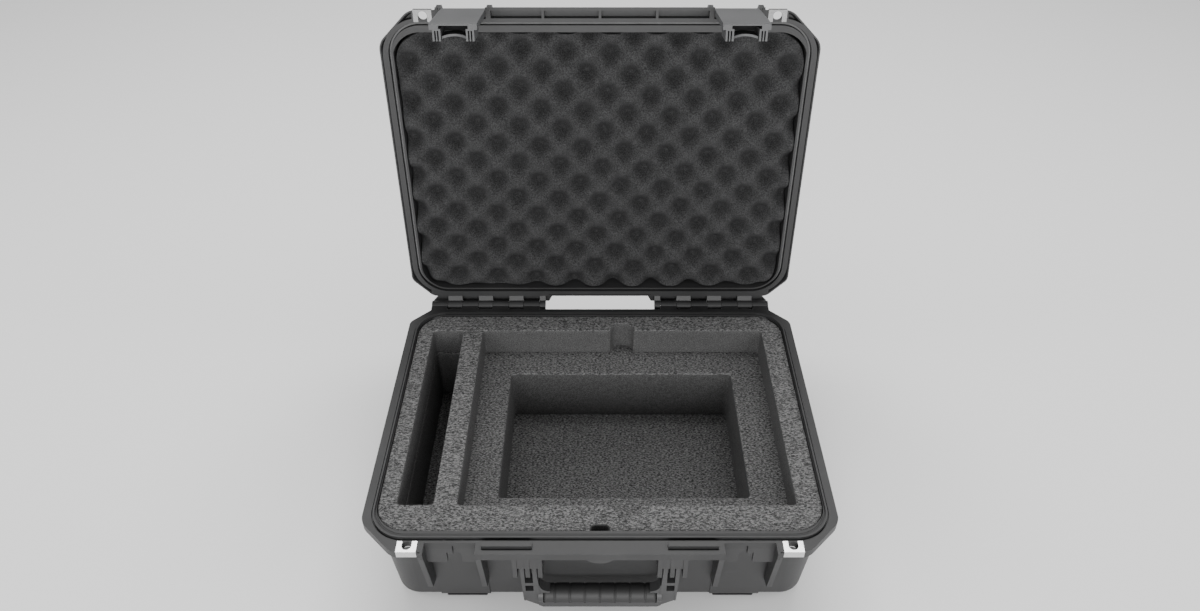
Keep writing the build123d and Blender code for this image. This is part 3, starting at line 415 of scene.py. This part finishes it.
plank_foam = cut_foam_finish("plank_foam")
for node, cell in layer_cells.items():
    layer = soft_copy(node, node + "_cut", cell)
    roughen(layer.data, bulge, bulge_lengths)
    layer.data.materials.clear()
    layer.data.materials.append(plank_foam)
    layer.data.polygons.foreach_set("use_smooth", [True] * len(layer.data.polygons))
    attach(layer, "base")
    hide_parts(node)

# Pins, plates and springs
# All metal parts are stainless steel: drawn pins that hinges, handle and latches turn on, and
# padlock plates and springs bent from strip. The plates on the lid are a darker copy of the
# steel: a painted dark reflection of what they face.
drawn_stretch = (1.0, 9.0, 9.0)
drawn_scale = 240.0
drawn_depth = 0.0002
mark_scale = 90.0


def steel(name, dark, light, rough):
    """Steel with fine drawing lines and a few small marks."""
    material, shader, place = finish(name)
    lines = place.stretched(drawn_stretch).noise(drawn_scale, 4.0)
    marks = place.noise(mark_scale, 3.0)
    link((lines * 0.6 + marks * 0.4).tint((dark,) * 3, (light,) * 3), shader, "Base Color")
    link(rough + lines * 0.16 - marks * 0.06, shader, "Roughness")
    link(relief(place, lines, 0.12, drawn_depth), shader, "Normal")
    shader.inputs["Metallic"].default_value = 1.0
    return material


bright_steel = steel("bright_steel", dark=0.52, light=0.80, rough=0.22)
# A darker, glossier copy of the same steel: painted dark reflection on the lid's plates.
dark_reflection_steel = steel("dark_reflection_steel", dark=0.16, light=0.42, rough=0.16)
pins = ("hinge_pin", "handle_pin", "latch_pin", "trigger_pin")
strips = ("base_padlock_plate", "trigger_spring")
for side in ("left", "right"):
    wear("lid_padlock_plate_" + side, dark_reflection_steel)
    for kind in pins + strips:
        wear(kind + "_" + side, bright_steel)

# Pressure valve
# A grooved plastic cap with a threaded stem is held by a nut inside the wall, and a rubber
# ring seals it. It is moulded in the same lighter plastic as the latches.
latch_dark = (0.055, 0.056, 0.058)
latch_light = (0.100, 0.101, 0.103)
bloom_scale = 30.0
rubber_grain_scale = 1700.0
rubber_grain_depth = 0.0003
seam_gap = 1e-6
ring_slack = 0.97
ring_swell = 0.025
ring_swell_width = 0.02

latch_plastic = moulded_plastic("latch_plastic", latch_dark, latch_light, rough=0.40, grain=0.16)
wear("valve_body", latch_plastic)
wear("valve_nut", latch_plastic)


def rubber(name, level, rough):
    """Matt black rubber with a very fine grain and a pale bloom in patches."""
    material, shader, place = finish(name)
    bloom = place.noise(bloom_scale, 4.0)
    grain = place.noise(rubber_grain_scale, 2.0)
    tone = bloom.ramp((0.35, 0.0), (0.75, 1.0)) * 0.7 + grain * 0.3
    pale = (1.8 * level, 1.8 * level, 1.82 * level)
    link(tone.tint((level, level, level), pale), shader, "Base Color")
    link(rough + bloom * 0.1, shader, "Roughness")
    link(relief(place, grain, 0.2, rubber_grain_depth), shader, "Normal")
    return material


def surface(name, points, closed_rows, closed_columns):
    """A mesh over a grid of points, in rows and columns, joined end to end where closed."""
    rows, columns = points.shape[:2]
    index = np.arange(rows * columns).reshape(rows, columns)
    if closed_rows:
        index = np.vstack([index, index[:1]])
    if closed_columns:
        index = np.hstack([index, index[:, :1]])
    corners = [index[:-1, :-1], index[1:, :-1], index[1:, 1:], index[:-1, 1:]]
    faces = np.stack([corner.ravel() for corner in corners], axis=1)
    mesh = bpy.data.meshes.new(name)
    mesh.from_pydata(points.reshape(-1, 3).tolist(), [], faces.tolist())
    return mesh


def as_piece(name, mesh, material, body, slot, *replaced):
    """Puts a finished mesh in the scene as one smooth piece that stands for CAD nodes."""
    shape = bmesh.new()
    shape.from_mesh(mesh)
    bmesh.ops.remove_doubles(shape, verts=shape.verts, dist=seam_gap)
    bmesh.ops.holes_fill(shape, edges=[edge for edge in shape.edges if edge.is_boundary])
    bmesh.ops.recalc_face_normals(shape, faces=shape.faces)
    shape.to_mesh(mesh)
    shape.free()
    mesh.polygons.foreach_set("use_smooth", [True] * len(mesh.polygons))
    mesh.materials.append(material)
    piece = bpy.data.objects.new(name, mesh)
    bpy.context.scene.collection.objects.link(piece)
    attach(piece, body)
    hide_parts(*replaced)
    return piece


ring_low = node_points("valve_oring").min(axis=0)
ring_high = node_points("valve_oring").max(axis=0)
ring_centre = (ring_low + ring_high) / 2
ring_wire = (ring_high[1] - ring_low[1]) / 2
ring_radius = (ring_high[0] - ring_low[0]) / 2 - ring_wire


def sealing_ring(turns, around):
    """A torus about Y: wire r (slack + swell exp(-((cos v - 1) / w)^2)) at angle v of the wire."""
    u = np.linspace(0, 2 * np.pi, turns, endpoint=False)[:, None]
    v = np.linspace(0, 2 * np.pi, around, endpoint=False)[None, :]
    seam = np.exp(-((np.cos(v) - 1) / ring_swell_width) ** 2)
    wire = ring_wire * (ring_slack + ring_swell * seam)
    reach = ring_radius + wire * np.cos(v)
    depth = wire * np.sin(v) + 0 * u
    ring = np.stack([reach * np.cos(u), depth, reach * np.sin(u)], axis=2)
    return ring + ring_centre


seal_rubber = rubber("seal_rubber", level=0.016, rough=0.5)
ring_mesh = surface("valve_ring", sealing_ring(72, 20), True, True)
as_piece("valve_ring", ring_mesh, seal_rubber, "base", "oring_rubber", "valve_oring")

# Handle
# The swinging handle is a glass-filled moulding with forked arms, lighter than the shell. A
# soft rubber grip with shallow finger rings is moulded round its core.
handle_dark = (0.030, 0.030, 0.0305)
handle_light = (0.060, 0.060, 0.061)
handle_plastic = moulded_plastic("handle_plastic", handle_dark, handle_light, 0.38, 0.18)
wear("handle_frame", handle_plastic)
grip_low = node_points("handle_grip").min(axis=0)
grip_high = node_points("handle_grip").max(axis=0)
grip_half = (grip_high[0] - grip_low[0]) / 2
grip_radius = (grip_high[1] - grip_low[1]) / 2
grip_axis = (grip_low[1] + grip_radius, grip_high[2] - grip_radius)
ring_pitch = 0.0168
ring_width = 0.0011
ring_depth = 0.0009
ring_count = 7
grip_end_round = 0.0035
grip_foot_play = 0.0002


def ringed_grip(steps, around):
    """A bar along X: radius R less shallow rings exp(-(dx/w)^2), with round ends, flat beneath."""
    x = np.linspace(-grip_half, grip_half, steps)[:, None]
    end = grip_end_round
    inward = np.clip(np.abs(x) - (grip_half - end), 0, end)
    radius = grip_radius - end + np.sqrt(np.maximum(end**2 - inward**2, 0))
    for i in range(ring_count):
        middle = (i - (ring_count - 1) / 2) * ring_pitch
        radius = radius - ring_depth * np.exp(-(((x - middle) / ring_width) ** 2))
    turn = np.linspace(0, 2 * np.pi, around, endpoint=False)[None, :]
    y = grip_axis[0] + radius * np.cos(turn)
    z = grip_axis[1] + radius * np.sin(turn)
    z = np.maximum(z, grip_low[2] + grip_foot_play)
    return np.stack([x + 0 * turn, y, z], axis=2)


grip_rubber = rubber("grip_rubber", level=0.014, rough=0.52)
grip_mesh = surface("ringed_grip", ringed_grip(420, 72), False, True)
grip = as_piece("ringed_grip", grip_mesh, grip_rubber, "handle", "grip_rubber", "handle_grip")

# Lid shell
# The upper half is moulded like the base. It hangs open on two steel pins and carries the
# latches on fins at its front edge.
wear("lid_shell", shell_plastic)
joints = frame["record"]["behaviour"]["joints"]
lid_hinge = next(joint for joint in joints if joint["name"] == "lid_hinge")
hinge = np.array(lid_hinge["pos_m"])
lid_angle = math.radians(max(abs(angle) for angle in lid_hinge["range_deg"]))


def turned(points, angle):
    """Points turned back about the hinge line, which runs along X, by an angle."""
    out = points[..., 1] - hinge[1]
    up = points[..., 2] - hinge[2]
    y = hinge[1] + out * math.cos(angle) - up * math.sin(angle)
    z = hinge[2] + out * math.sin(angle) + up * math.cos(angle)
    return np.stack([points[..., 0], y, z], axis=-1)


def closed_box(node):
    """Lowest and highest corners of a lid piece as it lies with the lid closed."""
    closed = turned(node_points(node), lid_angle)
    return closed.min(axis=0), closed.max(axis=0)


# Lid gasket
# A soft foamed band is pressed into the groove round the lid, and the base's tongue sinks
# into it when the case is shut.
gasket_low, gasket_high = closed_box("lid_gasket")
gasket_width = 0.0026
gasket_corner = 0.0393


def round_path(low, high, corner, inset, count):
    """Points and outward directions, evenly spaced along a rectangle with round corners."""
    half_x = (high[0] - low[0]) / 2 - inset
    half_y = (high[1] - low[1]) / 2 - inset
    middle = np.array([(high[0] + low[0]) / 2, (high[1] + low[1]) / 2])
    radius = corner - inset
    straight_x = 2 * (half_x - radius)
    straight_y = 2 * (half_y - radius)
    arc = np.pi / 2 * radius
    runs = np.array([straight_y, arc, straight_x, arc, straight_y, arc, straight_x, arc])
    ends = np.concatenate([[0], np.cumsum(runs)])
    s = np.linspace(0, ends[-1], count, endpoint=False)
    stretch = np.clip(np.searchsorted(ends, s, side="right") - 1, 0, 7)
    along = (s - ends[stretch]) / runs[stretch]
    quarter = (stretch // 2) * np.pi / 2
    bend = np.where(stretch % 2 == 1, along * np.pi / 2, 0)
    angle = quarter + bend
    corner_x = np.array([1, -1, -1, 1])[stretch // 2] * (half_x - radius)
    corner_y = np.array([1, 1, -1, -1])[stretch // 2] * (half_y - radius)
    back = np.where(stretch % 2 == 1, 0, (1 - along) * runs[stretch])
    outward = np.stack([np.cos(angle), np.sin(angle)], axis=1)
    tangent = np.stack([-np.sin(angle), np.cos(angle)], axis=1)
    corners = np.stack([corner_x, corner_y], axis=1)
    return middle + corners + outward * radius - tangent * back[:, None], outward


def gasket_band(count, around):
    """A rounded band: |a|^3 + |b|^3 = 1 in section, carried round the groove."""
    path, outward = round_path(gasket_low, gasket_high, gasket_corner, gasket_width / 2, count)
    turn = np.linspace(0, 2 * np.pi, around, endpoint=False)
    c, s = np.cos(turn), np.sin(turn)
    across = gasket_width / 2 * np.sign(c) * np.abs(c) ** (2 / 3)
    height = (gasket_high[2] - gasket_low[2]) / 2
    upward = (gasket_high[2] + gasket_low[2]) / 2 + height * np.sign(s) * np.abs(s) ** (2 / 3)
    band = path[:, None, :] + outward[:, None, :] * across[None, :, None]
    lift = np.broadcast_to(upward[None, :, None], (count, around, 1))
    return turned(np.concatenate([band, lift], axis=2), -lid_angle)


gasket_rubber = rubber("gasket_rubber", level=0.11, rough=0.7)
gasket_mesh = surface("gasket_band", gasket_band(900, 20), True, True)
gasket = as_piece("gasket_band", gasket_mesh, gasket_rubber, "lid", "gasket_rubber", "lid_gasket")

# Lid foam
# A sheet of open-cell foam is cut on rollers into staggered soft peaks and pits, and glued
# into the lid with its peaks towards the laptop.
crate_pitch_x = 0.0534
crate_pitch_y = 0.0502
crate_turn = math.radians(3.7)
crate_start_x = 0.0044
crate_start_y = -0.0265
crate_low, crate_high = closed_box("lid_foam")
crate_middle = (crate_low[1] + crate_high[1]) / 2
crate_depth = 0.022
crate_corner = 0.036
crate_crest = 0.30
crate_play = 0.0004
edge_shares = [1.0, 0.9992, 0.9975]
edge_drops = [0.0009, 0.0003]
back_shares = [1.0, 0.98, 0.5, 0.004]
side_rows = 12
sheet_dark = (0.010, 0.010, 0.0103)
sheet_light = (0.080, 0.080, 0.0812)
sheet_rough = 0.9
sheet_specular = 0.25
pore_scale = 620.0
pore_depth = 0.0010
glint_scale = 900.0
stain_scale = 30.0


def crate_wave(points):
    """1 on the peaks, -1 in the pits: cos(2 pi u / p) cos(2 pi v / q), u and v slightly turned."""
    x = points[..., 0] - crate_start_x
    y = points[..., 1] - crate_middle - crate_start_y
    along = x * math.cos(crate_turn) + y * math.sin(crate_turn)
    across = y * math.cos(crate_turn) - x * math.sin(crate_turn)
    return np.cos(2 * np.pi * along / crate_pitch_x) * np.cos(2 * np.pi * across / crate_pitch_y)


def convoluted_foam(around, across):
    """Depth (1 - w - crest (1 - w^2)) / 2 below the peaks, w the wave, over nested outlines."""
    outline, _ = round_path(crate_low, crate_high, crate_corner, crate_play, around)
    middle = np.array([0.0, crate_middle])
    share = np.concatenate([edge_shares, np.linspace(0.994, 0.004, across)])[:, None, None]
    flat = middle + (outline[None] - middle) * share
    wave = crate_wave(flat)
    soft = wave + crate_crest * (1 - wave**2)
    front = crate_low[2] + crate_depth * (1 - soft) / 2 + crate_play
    for row, drop in enumerate(edge_drops):
        front[row] += drop
    back = middle + (outline[None] - middle) * np.array(back_shares)[:, None, None]
    back_top = crate_high[2] - crate_play
    back_z = np.full(back.shape[:2], back_top)
    side_z = np.linspace(back_top, front[0], side_rows)[1:-1]
    side = np.broadcast_to(outline[None], (len(side_z),) + outline.shape)
    flat_all = np.concatenate([back[::-1], side, flat])
    z_all = np.concatenate([back_z[::-1], side_z, front])
    return turned(np.concatenate([flat_all, z_all[..., None]], axis=2), -lid_angle)


def open_cell_finish(name):
    """Dark open-cell foam: fine pores, painted glints, and painted shade darker towards its pits.
    """
    material, shader, place = finish(name)
    peak = place.node("Attribute", {"attribute_name": "peak"}, {}, "Fac")
    # Painted shade: the colour darkens towards the pits of the convoluted sheet.
    pit_shade = peak.ramp((0.0, 0.62), (0.5, 1.0))
    grain = place.noise(pore_scale, 3.0, 0.75)
    clouds = place.noise(stain_scale, 3.0)
    # Painted glints: sparse bright dots added to the colour.
    glints = place.noise(glint_scale, 1.0).ramp((0.64, 0.0), (0.72, 1.0))
    pores = grain.ramp((0.38, 0.0), (0.62, 1.0)) * 0.6 + clouds * 0.20
    tone = pores * pit_shade + glints * 0.6
    link(tone.tint(sheet_dark, sheet_light), shader, "Base Color")
    link(relief(place, grain, 0.9, pore_depth), shader, "Normal")
    shader.inputs["Roughness"].default_value = sheet_rough
    shader.inputs["Specular IOR Level"].default_value = sheet_specular
    return material


lid_foam = open_cell_finish("lid_foam")
crate_mesh = surface("convoluted_foam", convoluted_foam(640, 110), False, True)
crate = as_piece("convoluted_foam", crate_mesh, lid_foam, "lid", "lid_foam", "lid_foam")
peak = crate.data.attributes.new("peak", "FLOAT", "POINT")
closed_crate = turned(read_points(crate.data), lid_angle)
peak.data.foreach_set("value", 0.5 + 0.5 * crate_wave(closed_crate))

# Latches
# Each latch is a long cover on a steel pin, with a release trigger inside it, both moulded in
# a lighter plastic than the shell.
for side in ("left", "right"):
    wear("latch_body_" + side, latch_plastic)
    wear("latch_trigger_" + side, latch_plastic)
